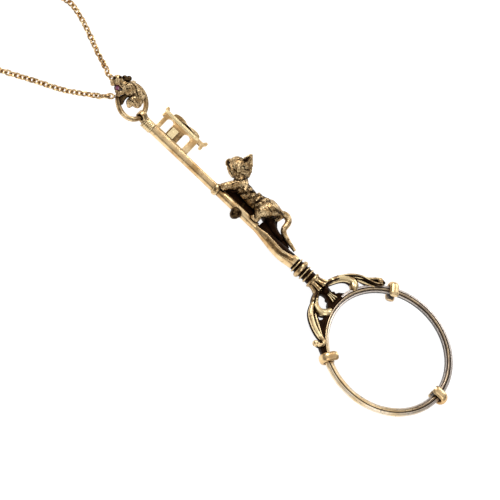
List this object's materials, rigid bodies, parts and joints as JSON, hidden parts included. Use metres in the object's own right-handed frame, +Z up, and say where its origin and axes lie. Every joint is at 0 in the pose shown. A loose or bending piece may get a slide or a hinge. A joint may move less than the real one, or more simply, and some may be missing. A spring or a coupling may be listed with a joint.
{
  "type": "quizzing glass",
  "caption": "Hand magnifying glass on a long neck chain, with openwork scrolls, a key-shaped stem with a climbing cat, and a bow ring with a mouse.",
  "frame": {"origin": "on the table that the glass lies on, under the middle of its box without the chain", "axes": "+X along the stem from the bow to the lens, +Y in the table's plane to the side of the key bit and the cat, +Z up from the table"},
  "size_m": [0.1804, 0.0555, 0.0105],
  "materials": {
    "lens_glass": "polished",
    "old_gold": "antique plated",
    "figure_gold": "antique plated, dark in the hollows",
    "dark_gilt": "oxidised satin",
    "chain_gold": "polished",
    "pink_glass": "polished",
    "spring_steel": "satin"
  },
  "bodies": {
    "root": {"lens": "lens_glass", "inner_bezel": "dark_gilt", "rim_band": "dark_gilt", "claw_end": "old_gold", "claw_cat_side": "old_gold", "claw_foot_side": "old_gold", "hub_leaf": "old_gold", "scroll_cat_side": "old_gold", "scroll_foot_side": "old_gold", "crown_cap": "old_gold", "reeded_collar": "old_gold", "neck_spindle": "old_gold", "handle": "old_gold", "stem_rod": "old_gold", "stem_tube": "old_gold", "tube_end_collar": "old_gold", "top_ferrule": "old_gold", "eye_plug": "old_gold", "key_bit": "old_gold", "bit_crest": "old_gold", "cat": "figure_gold", "cat_stud": "old_gold", "chain_upper": "chain_gold", "chain_left": "chain_gold", "coil_upper": "chain_gold", "coil_left": "chain_gold", "chain_tail_upper": "chain_gold", "chain_tail_left": "chain_gold", "clasp_body": "chain_gold", "clasp_pin": "chain_gold", "clasp_spring": "spring_steel", "catch_ring": "chain_gold"},
    "bow": {"bow_ring": "old_gold", "mouse": "figure_gold", "stone_collet": "old_gold", "pink_stone": "pink_glass"},
    "upper_ring": {"end_ring_upper": "chain_gold"},
    "left_ring": {"end_ring_left": "chain_gold"},
    "lever": {"clasp_lever": "chain_gold"}
  },
  "joints": [
    {"name": "bow_hinge", "type": "hinge", "parent": "root", "child": "bow", "pos_m": [-0.0458, 0, 0.00315], "axis": [0, 1, 0], "range_deg": [-30, 95]},
    {"name": "upper_ring_slide", "type": "hinge", "parent": "bow", "child": "upper_ring", "pos_m": [-0.05003, 0, 0.00469], "axis": [0.342, 0, 0.9397], "range_deg": [-2.5, 3]},
    {"name": "left_ring_slide", "type": "hinge", "parent": "bow", "child": "left_ring", "pos_m": [-0.05003, 0, 0.00469], "axis": [0.342, 0, 0.9397], "range_deg": [-2.5, 20]},
    {"name": "clasp_lever_hinge", "type": "hinge", "parent": "root", "child": "lever", "pos_m": [-0.11325, 0.0041, 0.0012], "axis": [0, 0, 1], "range_deg": [-18, 0], "stiffness_Nm_per_rad": 0.0002, "springref_deg": 5.73}
  ]
}
